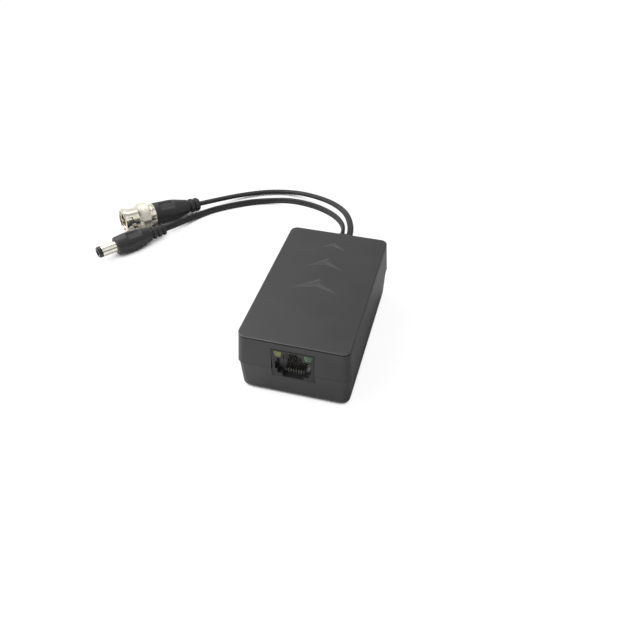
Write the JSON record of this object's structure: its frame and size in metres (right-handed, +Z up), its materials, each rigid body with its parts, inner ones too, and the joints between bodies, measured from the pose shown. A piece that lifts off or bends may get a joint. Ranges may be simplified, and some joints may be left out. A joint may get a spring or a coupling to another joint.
{
  "type": "video balun",
  "caption": "Passive power and video balun: flat plastic box with an RJ45 port in front, and a video cord with BNC plug and a power cord with barrel plug behind.",
  "frame": {"origin": "middle of the box's footprint, on the surface that it stands on", "axes": "+Z up out of the top plate, -Y out of the RJ45 port, +Y along the box's length to the cord exit, +X to the right seen from the port"},
  "size_m": [0.1412, 0.1433, 0.0287],
  "materials": {
    "shell_plastic": "satin moulded ABS, near black",
    "jack_plastic": "smooth moulded PBT, black",
    "contact_gold": "gold-plated phosphor bronze",
    "nickel": "bright nickel plate with a warm tone",
    "soft_black": "soft PVC, satin black",
    "tip_black": "gloss black moulding",
    "lens_yellow": "clear yellow lens, unlit",
    "lens_green": "clear green lens, unlit",
    "lead_tin": "tinned wire",
    "screw_steel": "zinc-plated steel",
    "board_green": "glass-epoxy laminate under green solder mask",
    "ferrite": "sintered ferrite, dark grey",
    "copper_enamel": "enamelled copper wire",
    "fuse_yellow": "dipped yellow epoxy",
    "ceramic_ochre": "dipped ochre coating",
    "diode_black": "moulded epoxy",
    "wire_red": "PVC insulation, red",
    "wire_black": "PVC insulation, black",
    "insulator_cream": "moulded polypropylene, brownish cream",
    "gasket_dark": "silicone gasket",
    "spring_steel": "bright spring steel"
  },
  "bodies": {
    "balun": {"barrel_inner_contact": "nickel", "barrel_insulator": "tip_black", "barrel_plug_handle": "soft_black", "barrel_sleeve": "nickel", "bnc_body": "nickel", "bnc_boot": "soft_black", "bnc_centre_pin": "nickel", "bnc_gasket": "gasket_dark", "bnc_insulator": "insulator_cream", "bnc_retaining_ring": "spring_steel", "bnc_wave_washer": "spring_steel", "case_screws": "screw_steel", "ceramic_capacitor": "ceramic_ochre", "circuit_board": "board_green", "housing_base": "shell_plastic", "housing_cover": "shell_plastic", "jack_contact_1": "contact_gold", "jack_contact_2": "contact_gold", "jack_contact_3": "contact_gold", "jack_contact_4": "contact_gold", "jack_contact_5": "contact_gold", "jack_contact_6": "contact_gold", "jack_contact_7": "contact_gold", "jack_contact_8": "contact_gold", "jack_housing": "jack_plastic", "jack_insert": "jack_plastic", "lamp_green": "lens_green", "lamp_green_leads": "lead_tin", "lamp_yellow": "lens_yellow", "lamp_yellow_leads": "lead_tin", "power_cord": "soft_black", "resettable_fuse": "fuse_yellow", "strain_relief": "soft_black", "surge_diode": "diode_black", "transformer_core": "ferrite", "transformer_winding": "copper_enamel", "video_cord": "soft_black", "wire_power_minus": "wire_black", "wire_power_plus": "wire_red", "wire_video_core": "wire_red", "wire_video_shield": "wire_black"},
    "pull": {"bnc_thrust_washer": "spring_steel"},
    "coupling": {"bnc_coupling_ring": "nickel"}
  },
  "joints": [
    {"name": "ring_pull", "type": "slide", "parent": "balun", "child": "pull", "axis": [-0.6857, -0.7226, 0.0872], "range_m": [0, 0.0006], "stiffness_N_per_m": 3000, "springref_m": -0.0005, "deforming": ["bnc_wave_washer"]},
    {"name": "ring_turn", "type": "hinge", "parent": "pull", "child": "coupling", "pos_m": [-0.11465, 0.04703, 0.00808], "axis": [0.6857, 0.7226, -0.0872], "continuous": true}
  ]
}
